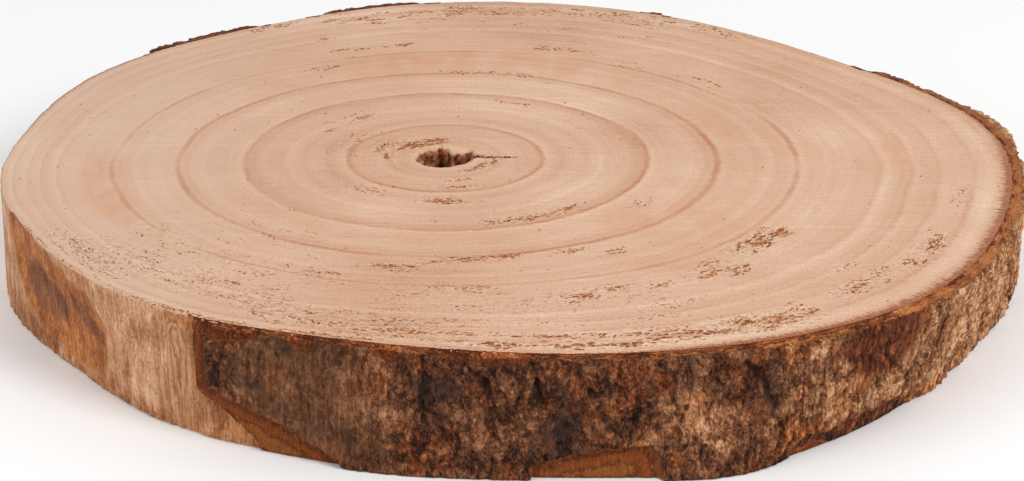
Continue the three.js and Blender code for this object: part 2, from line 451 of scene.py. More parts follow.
def hollow_loops(loops, lip):
    """The hollow pith, from the middle of its floor up its crumbled wall to its lip."""

    def wall_at(share):
        depth = HOLLOW_DEPTH * share
        spot = place(loops.angles, lip, -depth)
        lumps = 1.7 * noise(spot, (2.6, 2.6, 2.4), 54) + 0.8 * noise(spot, (1.1, 1.1, 1.0), 55)
        return np.maximum(lip * (1 - 0.3 * share) + lumps * step(0, 0.12, share), 0.8), depth

    bottom, depth = wall_at(1.0)
    for share in np.arange(1, FLOOR_LOOPS + 1) / (FLOOR_LOOPS + 1):
        radius = bottom * share
        lumps = 0.8 * noise(place(loops.angles, radius, 0), (2.5, 2.5, 1), 56)
        loops.add(radius, THICKNESS - depth + lumps, TOP, radius, 1.0)
    for share in 1 - np.arange(WALL_LOOPS) / WALL_LOOPS * 0.97:
        radius, depth = wall_at(share)
        loops.add(radius, THICKNESS - depth, TOP, radius, 0.5 + 0.5 * share)


def near_loops(loops, lip):
    """The sawn top close round the hollow, with the crack in it. Returns the growth where it ends."""
    for share in np.linspace(0, 1, NEAR_LOOPS) ** 1.2:
        radius = lip + 0.15 + (NEAR_END - lip) * share
        x = radius * np.cos(np.radians(loops.angles))
        y = radius * np.sin(np.radians(loops.angles))
        crack = crack_depth(x, y)
        # The crack is marked 1.5 as hollow, beyond the hollow's floor, so its colour gets the darkest
        # painted shade.
        loops.add(radius, FACE_LEVEL - crack, TOP, radius, 1.5 * step(0.1, 0.8, crack))
    return radius.mean()


def top_loops(loops, grain, start):
    """The rest of the sawn top, faintly uneven from the saw, out to its edge."""
    for share in np.arange(1, TOP_LOOPS) / TOP_LOOPS:
        growth = start + (WOOD_RADIUS - start) * (1 - (1 - share) ** 1.15)
        outward = growth / WOOD_RADIUS
        shift = (grain(THICKNESS) - wood_radius(loops.angles, THICKNESS)) * step(0.9, 1, outward)
        radius = radius_of_growth(growth, loops.angles) + shift - ARRIS * outward
        spot = place(loops.angles, radius, 0)
        face = 0.05 * noise(spot, (60, 3, 1), 61) + 0.04 * noise(spot, (4, 2.5, 1), 62)
        loops.add(radius, FACE_LEVEL + face * step(1, 0.93, outward), TOP, growth, 0.0)
    loops.add(grain(THICKNESS) - ARRIS, FACE_LEVEL, TOP, WOOD_RADIUS, 0.0)


def side_loops(loops, grain):
    """The wood's side, bare or under the bark."""
    for height in np.linspace(THICKNESS - ARRIS, ARRIS, SIDE_LOOPS):
        loops.add(grain(height), height, SIDE, WOOD_RADIUS, 0.0)


def under_loops(loops, grain):
    """The sawn underside and the shallower hollow in it."""
    lip = UNDER_MOUTH + 0.9 * noise(place(loops.angles, UNDER_MOUTH, 0), (4, 4, 1), 57)
    for share in np.linspace(0, 1, UNDER_LOOPS):
        growth = WOOD_RADIUS + (lip - WOOD_RADIUS) * share**0.8
        outward = growth / WOOD_RADIUS
        spread = 1 + (grain(0) / rim(loops.angles) - 1) * outward**2
        radius = radius_of_growth(growth, loops.angles) * spread
        loops.add(radius - ARRIS * outward, 0.0, UNDER, growth, 0.0)
    for share in UNDER_WALL_SHARES:
        radius = lip * (1 - 0.25 * share) - 0.2
        loops.add(radius, UNDER_HOLLOW_DEPTH * share, UNDER, radius, 0.5 + 0.5 * share)
    for share in UNDER_FLOOR_SHARES:
        loops.add(radius * share, UNDER_HOLLOW_DEPTH, UNDER, radius * share, 1.0)


def build_wood():
    loops = Loops(wood_angles())
    grain = side_grain(loops.angles)
    lip = mouth_radius(loops.angles)
    hollow_loops(loops, lip)
    start = near_loops(loops, lip)
    top_loops(loops, grain, start)
    side_loops(loops, grain)
    under_loops(loops, grain)
    return wood_mesh(loops)


def wood_mesh(loops):
    """The wood as one mesh: the loops joined, and closed by a fan of triangles at each end."""
    rows = len(loops.points)
    ends = np.array([[*PITH, loops.points[0][:, 2].mean()], [*PITH, loops.points[-1][:, 2].mean()]])
    points = np.concatenate(loops.points + [ends])
    at_ends = [[TOP, UNDER], [0, 0], [1, 1]]
    part, growth, hollow = np.concatenate(loops.marks + [at_ends], 1)
    row, column = loop_quads(rows, WOOD_COLUMNS)
    quads = row * WOOD_COLUMNS + column % WOOD_COLUMNS
    j = np.arange(WOOD_COLUMNS)
    k = (j + 1) % WOOD_COLUMNS
    last = (rows - 1) * WOOD_COLUMNS
    first_fan = np.stack([np.full(WOOD_COLUMNS, len(points) - 2), j, k], 1)
    last_fan = np.stack([np.full(WOOD_COLUMNS, len(points) - 1), last + k, last + j], 1)
    faces = quads.tolist() + first_fan.tolist() + last_fan.tolist()
    uvs = wood_uvs(points, part, quads, row, column, first_fan, last_fan)
    return make_mesh("wood", points, faces, wood_values(points, part, growth, hollow), uvs)


def wood_uvs(points, part, quads, row, column, first_fan, last_fan):
    """A layout with most of the room for the sawn top: two discs above three strips of the side."""
    top_uv = disc_uv(points, *TOP_DISC)
    under_uv = disc_uv(points, *UNDER_DISC)
    strip, u = strip_uv(column, WOOD_COLUMNS, WOOD_STRIPS)
    side_start = int(np.argmax(part == SIDE)) // WOOD_COLUMNS
    v = 0.005 + 0.108 * strip + 0.1 * (row - side_start + 1) / (SIDE_LOOPS + 1)
    uvs = np.stack([u, v], -1)
    on_top = (part[quads] == TOP).all(1)
    on_under = (part[quads] == UNDER).all(1)
    uvs[on_top] = top_uv[quads[on_top]]
    uvs[on_under] = under_uv[quads[on_under]]
    return np.concatenate([uvs.reshape(-1, 2), top_uv[first_fan.ravel()], under_uv[last_fan.ravel()]])


def wood_values(points, part, growth, hollow):
    """What the wood's material reads at each point."""
    angle, height = side_place(points)
    inner, _ = bark_cover(angle, height)
    top_inner, _ = bark_cover(angle, np.full(angle.shape, THICKNESS))
    on_side = (part == SIDE).astype(float)
    spot = place(angle, WOOD_RADIUS, height)
    wander = 1.4 * noise(spot, (5, 5, 8), 81) + 0.8 * noise(spot, (1.3, 1.3, 6), 82)
    core = np.max([inside_by(outline, angle, height) for outline in SCAR_CORES], 0)
    rise = height - KNOT[1]
    curl = np.hypot(turn(KNOT[0], angle) * MM_PER_DEGREE, np.where(rise > 0, rise, rise * KNOT_TRAIL))
    shaggy = 0.5 + 0.9 * step(48, 26, np.abs(turn(SHAGGIEST, angle)))
    edge_stain = 0.9 * np.exp(-((turn(STAINED_EDGE, angle) / 24) ** 4))
    return {
        "growth": growth,
        "round": way_round(angle),
        "side": on_side,
        "hollow": hollow,
        "torn": torn_near(growth, angle) * (part != SIDE),
        "orange": orange_near(growth, angle),
        "faded": step(FADED_FROM, FADED_TO, points[:, 0]),
        "fringe": np.maximum(step(0, 1.5, top_inner) * shaggy, edge_stain) * (part == TOP),
        "stain": np.clip(humps(STAINS, angle, height), 0, 1) * on_side,
        "scar": step(-3.0, 2.4, inside_by(SCAR, angle, height) + wander) * on_side,
        "core": step(-1.8, 2.0, core + wander) * on_side,
        "bark_near": step(-5, 1, inner) * on_side,
        "curl": np.where(part == SIDE, np.minimum(curl, FAR), FAR),
        "strands": hump(angle, height, *STRANDS_SHOWN) * on_side,
    }


def orange_near(growth, angle):
    """Where the sawn wood is warmer in colour."""
    total = np.zeros(growth.shape)
    for at, wide, towards, span, much in WARM_PATCHES:
        total = total + much * np.exp(-(((growth - at) / wide) ** 2) - (turn(towards, angle) / span) ** 2)
    return np.clip(total, 0, 1)


# The bark

BARK_STEP = 0.19
BARK_ROWS = 73
BARK_CUT_ROWS = 10
BARK_UNDER_ROWS = 6
BARK_ROOT = 2.2
BARK_BACK_SHARES = (0.02, 0.25, 0.5, 0.75, 0.96)
BARK_TOP = THICKNESS - 0.01
BARK_BOTTOM = 0.12
# Places on the outer bark, each with its angle, its height, and how wide and tall it is: a red hollow where
# a flake is gone, short clefts, a bulge, a foot that is worn away, sooty patches and the smoother stretch at
# the left. Then how far the bulge stands out and the worn foot is cut back.
FLAKED = (314.3, 23, 4.4, 9)
CLEFTS = [(288, 25, 0.5, 5), (337, 9, 0.8, 9), (17, 16, 0.8, 12)]
BULGE = (10.5, 20, 6, 16)
WORN_FOOT = (313, 0, 9, 4.5)
SOOTY_PATCHES = [(249, 19, 4, 5), (270, 17, 3.5, 7), (284, 13, 4, 8), (302, 18, 1.5, 9)]
SMOOTHED = (256, 13, 8.5, 20)
BULGE_OUT = 2.2
WORN_FOOT_IN = 2.8
# A curved groove down the bark: its angle, its half width in degrees and its depth.
GROOVE_AT = 302
GROOVE_WIDTH = 0.45
GROOVE_DEPTH = 1.2
# The stretch of the foot that is rubbed smooth: its angle and how far it reaches to each side.
RUBBED_AT = 277
RUBBED_REACH = 30
# Paler and redder places: how strong, then as above.
PALE_PLACES = [(0.2, 262, 18, 5, 9), (0.1, 252, 14, 5, 8), (0.45, 294, 12, 4, 9), (0.25, 305, 12, 4, 8)]
RUSTY_PLACES = [(0.9, *FLAKED), (0.1, 270, 6, 8, 6), (0.4, 304, 6, 6, 5), (0.9, 318, 0, 13, 5)]


def bark_relief(angle, height):
    """How far the bark's outside stands out from its mean, in mm, the random tone of each flake, and how
    near a crease is, which the bark's material paints darker as shade."""
    spot = place(angle, wood_radius(angle, height) + OUTER_BARK, height)
    bend_x, bend_y = (noise(spot, (9, 9, 12), seed) for seed in (11, 12))
    bend = np.stack([bend_x, bend_y, noise(spot, (7, 7, 8), 13)], 1)
    crumple = np.stack([noise(spot, (1.4, 1.4, 1.8), seed) for seed in (23, 24, 25)], 1)
    bent = spot + bend * [2.4, 2.4, 3.0] + crumple * 0.7
    plates = fractal(bent, (10, 10, 15), 14, 2)
    within, tone, above = cells(bent, (3.4, 3.4, 5.4), 15)
    small_within, small_tone, small_above = cells(bent, (1.4, 1.4, 2.1), 16)
    lumps = np.abs(fractal(bent, (3.6, 3.6, 5.2), 17, 2))
    crumbs = noise(bent, (1.0, 1.0, 1.3), 18)
    hollows = step(0.3, 0.8, fractal(bent, (6, 6, 9), 19, 3))
    fissures = step(0.1, 0.015, np.abs(noise(bent, (8, 8, 20), 20)))
    relief = 0.45 * plates + (0.55 * (tone - 0.5) + 0.3 * above) * step(0, 0.16, within)
    relief += (0.34 * (small_tone - 0.5) + 0.24 * small_above) * step(0, 0.2, small_within)
    relief += 0.55 * (lumps - 0.35) + 0.22 * crumbs - 0.5 * fissures - 0.5 * hollows
    at_right = step(-60, -25, turn(0, angle))
    relief += (0.25 + 0.45 * at_right) * noise(bent, (1.7, 1.7, 8), 26)
    ripples = noise(spot, (0.9, 0.9, 9), 22)
    relief += hump(angle, height, *FLAKED) * (0.8 * ripples - 1.2)
    curve = GROOVE_AT + 0.09 * (16 - height) - 0.01 * (height - 12) ** 2 + 0.5 * noise(spot, (6, 6, 4), 21)
    groove = GROOVE_DEPTH * np.exp(-((turn(curve, angle) / GROOVE_WIDTH) ** 2))
    relief -= groove * step(1, 5, height) * step(THICKNESS, THICKNESS - 4, height)
    for cleft in CLEFTS:
        relief -= hump(angle, height, *cleft)
    rubbed = step(4, 0.5, height) * np.exp(-((turn(RUBBED_AT, angle) / RUBBED_REACH) ** 4))
    calm = (1 - 0.6 * hump(angle, height, *SMOOTHED)) * (1 - 0.7 * rubbed)
    crease = np.maximum(step(0.14, 0.0, within), 0.8 * step(0.16, 0.0, small_within))
    crease = np.maximum(crease, np.maximum(fissures, step(0.12, 0.0, lumps)))
    relief = relief * calm + BULGE_OUT * hump(angle, height, *BULGE)
    relief -= WORN_FOOT_IN * hump(angle, height, *WORN_FOOT)
    return relief, 0.6 * tone + 0.4 * small_tone, crease * calm


def bark_outside(angles, height):
    """The wood's radius, the bark's, what is left of its two layers, and what bark_relief gives."""
    level = np.zeros(angles.size) + height
    inner, outer = bark_cover(angles, level)
    relief, tone, crease = bark_relief(angles, level)
    base = wood_radius(angles, level)
    spot = place(angles, base, level)
    skin = INNER_BARK + 0.12 * noise(spot, (2, 2, 12), 31) + 0.12 * fractal(spot, (1, 1, 3), 32, 2)
    near_top = step(THICKNESS - 6, THICKNESS - 2, level)
    skin = skin + near_top * 0.4 * fractal(spot, (1.6, 1.6, 1.4), 38, 2)
    skin = skin * step(-0.2, 0.7, inner) - BARK_ROOT * step(0.3, -1.4, inner)
    full = np.maximum(OUTER_BARK - INNER_BARK + relief, 0.15) * step(-0.1, 0.7, outer)
    full = full * (0.4 + 0.6 * step(0.5, 5.5, inner))
    return base, base + skin + full, inner, outer, relief, tone, crease


def bark_top_loops(loops, spot, droop):
    """The sawn top of the bark, from inside the wood out to the bark's worn edge."""
    base, edge, *state = bark_outside(loops.angles, THICKNESS - droop)
    margin = base + 0.35 * noise(spot, (0.9, 0.9, 1), 33) + 0.3 * noise(spot, (3, 3, 1), 34)
    loops.add(margin - BARK_ROOT, THICKNESS - 0.8, *state, 0.0)
    loops.add(margin - 0.35, THICKNESS - 0.6, *state, 0.0)
    for share in np.arange(BARK_CUT_ROWS) / BARK_CUT_ROWS:
        radius = margin + (edge - margin) * share
        spot = place(loops.angles, radius, THICKNESS)
        lump = 0.12 * noise(spot, (0.9, 0.9, 1), 37) + 0.12 * noise(spot, (0.5, 2.5, 1), 39)
        level = BARK_TOP - droop * step(0.2, 1.05, share) + lump * step(0.15, 0.4, share)
        loops.add(radius, np.minimum(level, THICKNESS + 0.1), *state, radius - margin)


def bark_side_loops(loops, droop):
    """The bark's outside, its foot, and its back, which is sunk in the wood."""
    for share in np.linspace(0, 1, BARK_ROWS):
        level = (BARK_TOP - droop) * (1 - share) + BARK_BOTTOM * share
        base, edge, *state = bark_outside(loops.angles, level)
        loops.add(edge, level, *state, FAR)
    for share in 1 - np.arange(1, BARK_UNDER_ROWS) / BARK_UNDER_ROWS:
        across = (edge - base + BARK_ROOT) * share
        loops.add(base - BARK_ROOT + across, BARK_BOTTOM / 2, *state, np.maximum(across - BARK_ROOT, 0))
    for share in BARK_BACK_SHARES:
        level = np.full(loops.angles.size, THICKNESS * share)
        inner, outer = bark_cover(loops.angles, level)
        back = wood_radius(loops.angles, level) - BARK_ROOT - 0.5
        loops.add(back, level, inner, outer, *state[2:], 0.0)


def build_bark():
    columns = round(360 / BARK_STEP)
    angles = np.arange(columns) * 360.0 / columns
    loops = Loops(angles)
    spot = place(angles, wood_radius(angles, THICKNESS), THICKNESS)
    worn = WORN_BACK + (WORN_FRONT - WORN_BACK) * frontness(angles)
    droop = worn * (1 + 0.45 * noise(spot, (5, 5, 1), 35) + 0.25 * noise(spot, (1.4, 1.4, 1), 36))
    bark_top_loops(loops, spot, droop)
    bark_side_loops(loops, droop)
    return bark_mesh(loops)


def bark_mesh(loops):
    """The bark as one mesh: the loops joined, with the stretches left out that have lost it all."""
    rows = len(loops.points)
    columns = loops.angles.size
    points = np.concatenate(loops.points)
    marks = np.concatenate(loops.marks, 1)
    left = (marks[0].reshape(rows, columns) > -1.6).any(0)
    row, column = loop_quads(rows, columns, rows_close=True)
    shown = left[column % columns].all(1)
    row = row[shown]
    column = column[shown]
    quads = row % rows * columns + column % columns
    caps = []
    for c in np.flatnonzero(left):
        ring = np.arange(rows) * columns + c
        if not left[(c + 1) % columns]:
            caps.append(ring)
        elif not left[c - 1]:
            caps.append(ring[::-1])
    used = np.unique(np.concatenate([quads.ravel(), *caps]))
    number = np.full(len(points), -1)
    number[used] = np.arange(len(used))
    strip, u = strip_uv(column, columns, BARK_STRIPS)
    v = (strip + 0.02 + 0.95 * row / (rows + 1)) / BARK_STRIPS
    uvs = np.stack([u, v], -1).reshape(-1, 2)
    cap_uvs = np.full((sum(len(cap) for cap in caps), 2), 0.001)
    values = {key: value[used] for key, value in bark_values(points, marks).items()}
    faces = number[quads].tolist() + [number[cap].tolist() for cap in caps]
    return make_mesh("bark", points[used], faces, values, np.concatenate([uvs, cap_uvs]))


def bark_values(points, marks):
    """What the bark's material reads at each point."""
    inner, outer, relief, tone, crease, across = marks
    angle, height = side_place(points)
    return {
        "outer": step(-0.1, 0.5, outer),
        "bare_by": np.clip(-outer, 0, FAR),
        "to_foot": np.clip(inner, 0, FAR),
        "high": step(THICKNESS - 6, THICKNESS - 3, height),
        "round": way_round(angle),
        "relief": relief,
        "tone": tone,
        "crease": crease,
        "across": across,
        "pale": pale_zones(points),
        "rusty": rust_zones(points),
        "soot": np.clip(sum(hump(angle, height, *patch) for patch in SOOTY_PATCHES), 0, 1),
        "flaked": hump(angle, height, *FLAKED),
        "smooth": hump(angle, height, *SMOOTHED),
    }


def pale_zones(points):
    """Where the bark is paler: more and more towards the right, and in a few places at the front."""
    angle, height = side_place(points)
    total = 0.85 * step(-75, -25, turn(0, angle)) * step(40, 20, turn(0, angle))
    total += humps(PALE_PLACES, angle, height)
    return np.clip(total + 0.3 * noise(points, (16, 16, 14), 91), 0, 1)


def rust_zones(points):
    """Where the bark is redder: at its back and in a few places at the front."""
    angle, height = side_place(points)
    total = 0.5 * step(0.1, 0.4, np.sin(np.radians(angle))) + humps(RUSTY_PLACES, angle, height)
    return np.clip(total + 0.3 * noise(points, (16, 16, 12), 92), 0, 1)


# Torn grain on the sawn top: small slivers in strings along the growth rings

TORN_ARCS = [
    # growth, from angle, to angle, how far they scatter across the ring, how many, and the longest, in mm
    (119.8, 273, 291, 0.7, 100, 2.2), (114.8, 276, 292, 0.8, 60, 2.0), (118.5, 258, 273, 1.3, 40, 1.4),
    (113.3, 262, 273, 1.0, 44, 2.0), (114.5, 246, 262, 1.8, 40, 1.5), (117.5, 292, 300, 1.2, 56, 2.2),
    (116.5, 301, 309, 1.6, 84, 2.2), (113.9, 292, 303, 0.9, 28, 1.4), (108, 265, 300, 3.0, 40, 1.1),
    (93.5, 287, 290, 1.0, 24, 2.2), (91.5, 292, 295, 1.2, 16, 1.8), (93.5, 299, 301, 0.8, 10, 1.8),
    (94, 306, 313, 1.0, 36, 2.2), (89.5, 309, 312, 0.8, 12, 1.6), (88.5, 317, 327, 1.6, 84, 2.4),
    (73.5, 258, 264, 1.0, 36, 1.8), (80.9, 248, 253, 0.8, 16, 1.5), (69, 266, 273, 0.8, 24, 1.4),
    (67.2, 272, 284, 0.5, 44, 1.8), (68.5, 292, 297, 0.6, 16, 1.5), (73, 300, 303, 0.8, 14, 1.8),
    (85.5, 262, 278, 1.5, 36, 1.2), (88.4, 238, 242, 0.8, 8, 1.5), (97, 233, 241, 1.4, 16, 1.3),
    (112, 209, 228, 3.2, 84, 1.2), (103, 214, 250, 5.0, 60, 1.0), (121.8, 205, 242, 0.7, 70, 0.9),
    (56, 322, 328, 1.0, 12, 1.4), (46, 283, 313, 0.7, 60, 1.8), (114.3, 315, 323, 1.0, 52, 2.0),
    (115.2, 326, 336, 1.1, 60, 2.0), (107.3, 320, 323, 0.8, 10, 1.5), (116, 344, 350, 1.0, 12, 1.6),
    (102.6, 295, 302, 0.8, 12, 1.5), (17, 136, 160, 0.5, 28, 1.7), (12.6, 88, 142, 0.9, 64, 2.0),
    (14, 168, 178, 0.8, 12, 1.8), (10.6, 292, 335, 0.5, 24, 1.5), (12.6, 330, 352, 0.4, 14, 1.4),
    (16.6, 268, 290, 0.4, 16, 1.3), (21.1, 264, 286, 0.4, 20, 1.3), (29, 222, 238, 0.8, 20, 1.4),
    (30.1, 262, 277, 0.8, 40, 2.2), (37, 118, 150, 1.6, 28, 1.5), (27, 130, 170, 1.6, 20, 1.3),
    (121, 110, 118, 1.5, 28, 1.9), (116, 88, 107, 2.5, 70, 2.2), (117.5, 62, 90, 2.5, 130, 2.2),
    (120, 49, 64, 2.0, 44, 1.9), (91, 96, 111, 1.0, 36, 1.8), (89.5, 64, 76, 0.8, 28, 1.8),
    (78.7, 112, 119, 0.8, 12, 1.8), (66.8, 70, 90, 0.5, 36, 1.7), (86, 54, 59, 0.8, 12, 1.8),
    (88.7, 37, 43, 0.6, 8, 2.0), (44.7, 62, 74, 0.6, 16, 1.5), (105, 60, 110, 4.0, 50, 1.2),
    (122.2, 233, 262, 0.5, 90, 1.6), (108, 246, 268, 4.0, 80, 1.3), (10.6, 92, 125, 0.5, 24, 1.6),
    (100, 216, 250, 6.0, 60, 1.2), (84, 214, 255, 6.0, 50, 1.2), (66, 220, 250, 6.0, 24, 1.2),
    (96, 262, 300, 6.0, 60, 1.3),
]
STRINGS_PER_CHIP = 0.4
CHIPS_IN_STRING = 4
LONE_CHIPS = 260
LONE_CHIP_LENGTH = 1.3
CHIP_SLIMNESS = (0.22, 0.6)
CHIP_LEAST_WIDTH = 0.26
CHIP_CORNERS = 6
CHIP_SEED = 7


def torn_near(growth, angle):
    """How much torn grain there is round a place on the sawn faces, 0 to 1."""
    total = np.zeros(growth.shape)
    for at, start, end, scatter, count, _ in TORN_ARCS:
        per_mm = count / (math.radians(end - start) * at + 4)
        outside = np.radians(np.maximum(degrees_past(start, end, angle), 0)) * at
        total = total + per_mm / 3 * np.exp(-(((growth - at) / (scatter + 1.3)) ** 2) - (outside / 2.5) ** 2)
    return np.clip(total, 0, 1)


def chip_places(random):
    """The growth, angle and greatest length of each sliver."""
    places = []
    for at, start, end, scatter, count, longest in TORN_ARCS:
        for _ in range(round(count * STRINGS_PER_CHIP)):
            growth = at + scatter * random.normal()
            angle = random.uniform(start, end)
            for _ in range(CHIPS_IN_STRING):
                places.append((growth + 0.35 * random.normal(), angle, longest))
                angle += math.degrees(random.uniform(0.4, 1.7) / at)
    for _ in range(LONE_CHIPS):
        growth = WOOD_RADIUS * math.sqrt(random.uniform(0.02, 0.97))
        places.append((growth, random.uniform(0, 360), LONE_CHIP_LENGTH))
    return [p for p in places if 9.8 < p[0] < WOOD_RADIUS - 0.8]


def chip(centre, length, width, heading, proud, random):
    """Points of one low ragged sliver: a ring sunk in the face, a ring above it and a crest."""
    around = np.arange(CHIP_CORNERS) * 2 * math.pi / CHIP_CORNERS
    reach = random.uniform(0.55, 1.25, CHIP_CORNERS)
    x = length / 2 * reach * np.cos(around)
    y = width / 2 * reach * np.sin(around)
    along = np.array([math.cos(heading), math.sin(heading)])
    ring = centre + np.outer(x, along) + np.outer(y, [-along[1], along[0]])
    low = np.column_stack([ring, np.full(CHIP_CORNERS, THICKNESS - 0.3)])
    high = np.column_stack([centre + (ring - centre) * 0.86, np.full(CHIP_CORNERS, THICKNESS + proud * 0.2)])
    return np.concatenate([low, high, [[*centre, THICKNESS + proud]]])


def chip_faces():
    faces = [list(range(CHIP_CORNERS))[::-1]]
    for i in range(CHIP_CORNERS):
        k = (i + 1) % CHIP_CORNERS
        faces.append([i, k, CHIP_CORNERS + k, CHIP_CORNERS + i])
        faces.append([CHIP_CORNERS + i, CHIP_CORNERS + k, 2 * CHIP_CORNERS])
    return faces


def build_torn_grain():
    random = np.random.default_rng(CHIP_SEED)
    points = []
    faces = []
    tones = []
    corners = 2 * CHIP_CORNERS + 1
    for number, (growth, angle, longest) in enumerate(chip_places(random)):
        radius = float(radius_of_growth(np.array([growth]), np.array([angle]))[0])
        a = math.radians(angle)
        centre = PITH + radius * np.array([math.cos(a), math.sin(a)])
        length = longest * random.uniform(0.25, 1) ** 1.4
        width = max(CHIP_LEAST_WIDTH, length * random.uniform(*CHIP_SLIMNESS))
        heading = a + math.pi / 2 + 0.35 * random.normal()
        points.append(chip(centre, length, width, heading, random.uniform(0.02, 0.1), random))
        faces += [[number * corners + i for i in face] for face in chip_faces()]
        tone = random.uniform(0, 0.6)
        tones += [tone + 0.3] * (2 * CHIP_CORNERS) + [tone]
    points = np.concatenate(points)
    uvs = disc_uv(points)[[corner for face in faces for corner in face]]
    return make_mesh("torn_grain", points, faces, {"tone": np.array(tones)}, uvs)


# Materials


class Nodes:
    """A short way to write a material's node tree."""

    def __init__(self, name):
        self.material = bpy.data.materials.new(name)
        self.material.use_nodes = True
        self.tree = self.material.node_tree
        self.tree.nodes.clear()
        self.output = self.add("ShaderNodeOutputMaterial")
        self.shader = self.add("ShaderNodeBsdfPrincipled")
        self.tree.links.new(self.shader.outputs[0], self.output.inputs[0])

    def add(self, kind, **settings):
        node = self.tree.nodes.new(kind)
        for key, value in settings.items():
            setattr(node, key, value)
        return node

    def plug(self, socket, value):
        if isinstance(value, bpy.types.NodeSocket):
            self.tree.links.new(value, socket)
        elif value is not None:
            socket.default_value = value

    def read(self, name):
        return self.add("ShaderNodeAttribute", attribute_name=name).outputs["Fac"]

    def position(self, scale, source=None, offset=0.0):
        """Object coordinates, or a vector in mm, divided so that a length of that size in mm is one unit."""
        mapping = self.add("ShaderNodeMapping")
        unit = MM if source is None else 1.0
        self.plug(mapping.inputs["Vector"], source or self.add("ShaderNodeTexCoord").outputs["Object"])
        mapping.inputs["Scale"].default_value = [1 / (s * unit) for s in scale]
        mapping.inputs["Location"].default_value = (offset, offset, offset)
        return mapping.outputs[0]

    def pair(self, x, y=0.0):
        """Two values as a vector in mm."""
        node = self.add("ShaderNodeCombineXYZ")
        self.plug(node.inputs[0], x)
        self.plug(node.inputs[1], y)
        return node.outputs[0]

    def math(self, operation, a, b=None, clamp=False):
        node = self.add("ShaderNodeMath", operation=operation, use_clamp=clamp)
        self.plug(node.inputs[0], a)
        self.plug(node.inputs[1], b)
        return node.outputs[0]

    def sum(self, start, *terms):
        """A number plus terms of (value, weight, middle), each of them weight times (value - middle)."""
        total = start
        for value, weight, middle in terms:
            part = self.math("MULTIPLY", self.math("SUBTRACT", value, middle), weight)
            total = self.math("ADD", total, part)
        return total

    def times(self, *values):
        """Values multiplied together."""
        total = values[0]
        for value in values[1:]:
            total = self.math("MULTIPLY", total, value)
        return total

    def noise(self, vector, detail=2.0, roughness=0.5):
        node = self.add("ShaderNodeTexNoise")
        self.plug(node.inputs["Vector"], vector)
        node.inputs["Scale"].default_value = 1.0
        node.inputs["Detail"].default_value = detail
        node.inputs["Roughness"].default_value = roughness
        return node.outputs["Fac"]

    def texture(self, size, detail=2.0, roughness=0.5):
        """Noise with features of that size in mm."""
        return self.noise(self.position(size), detail, roughness)

    def voronoi(self, vector):
        node = self.add("ShaderNodeTexVoronoi")
        self.plug(node.inputs["Vector"], vector)
        node.inputs["Scale"].default_value = 1.0
        return node.outputs["Distance"]

    def flakes(self, vector):
        """Cells like flakes: the random tone of each, from 0 to 1, and how far inside it a place is."""
        cell = self.add("ShaderNodeTexVoronoi")
        edge = self.add("ShaderNodeTexVoronoi", feature="DISTANCE_TO_EDGE")
        for node in (cell, edge):
            self.plug(node.inputs["Vector"], vector)
            node.inputs["Scale"].default_value = 1.0
        return cell.outputs["Color"], edge.outputs["Distance"]

    def shift(self, vector, by, amount):
        """A vector moved by a noise, read at another, in all three directions."""
        texture = self.add("ShaderNodeTexNoise")
        self.plug(texture.inputs["Vector"], by)
        texture.inputs["Scale"].default_value = 1.0
        centred = self.add("ShaderNodeVectorMath", operation="SUBTRACT")
        self.plug(centred.inputs[0], texture.outputs["Color"])
        centred.inputs[1].default_value = (0.5, 0.5, 0.5)
        scaled = self.add("ShaderNodeVectorMath", operation="SCALE")
        self.plug(scaled.inputs[0], centred.outputs[0])
        scaled.inputs["Scale"].default_value = amount
        moved = self.add("ShaderNodeVectorMath", operation="ADD")
        self.plug(moved.inputs[0], vector)
        self.plug(moved.inputs[1], scaled.outputs[0])
        return moved.outputs[0]

    def step(self, value, low, high):
        """0 at low, 1 at high and a smooth change between; low may be the larger."""
        node = self.add("ShaderNodeMapRange", interpolation_type="SMOOTHSTEP")
        self.plug(node.inputs["Value"], value)
        falls = low > high
        node.inputs["From Min"].default_value = min(low, high)
        node.inputs["From Max"].default_value = max(low, high)
        node.inputs["To Min"].default_value = 1.0 if falls else 0.0
        node.inputs["To Max"].default_value = 0.0 if falls else 1.0
        return node.outputs[0]

    def mix(self, factor, a, b):
        node = self.add("ShaderNodeMix", data_type="RGBA")
        self.plug(node.inputs["Factor"], factor)
        self.plug(node.inputs["A"], a)
        self.plug(node.inputs["B"], b)
        return [o for o in node.outputs if o.type == "RGBA"][0]

    def ramp(self, value, *stops):
        """Colours along a value: stops of (value, red, green, blue), in screen colours."""
        node = self.add("ShaderNodeValToRGB")
        self.plug(node.inputs[0], value)
        elements = node.color_ramp.elements
        while len(elements) < len(stops):
            elements.new(0.5)
        for element, (at, *rgb) in zip(elements, stops):
            element.position = at
            element.color = colour(*rgb)
        return node.outputs["Color"]

    def bump(self, height, distance, strength):
        node = self.add("ShaderNodeBump")
        self.plug(node.inputs["Height"], height)
        node.inputs["Distance"].default_value = distance * MM
        node.inputs["Strength"].default_value = strength
        return node.outputs[0]


def colour(red, green, blue):
    """A screen colour, 0 to 255, as the linear colour that a shader uses."""
    channels = [c / 255 for c in (red, green, blue)]
    linear = [c / 12.92 if c <= 0.04045 else ((c + 0.055) / 1.055) ** 2.4 for c in channels]
    return (*linear, 1.0)


GROWTH_RINGS = [
    # growth of the line, its width, its strength, and how far the darker late wood reaches inside it
    (13.5, 0.5, 0.35, 1.5), (24, 0.7, 0.7, 3), (49.4, 0.8, 0.72, 5), (66.2, 0.9, 0.76, 7),
    (84, 0.9, 0.65, 9), (92, 0.7, 0.12, 3), (100.5, 0.8, 0.36, 5), (106.5, 0.7, 0.42, 4),
    (111.4, 0.6, 0.3, 3), (117.5, 0.7, 0.42, 4), (121.6, 0.5, 0.35, 2),
]


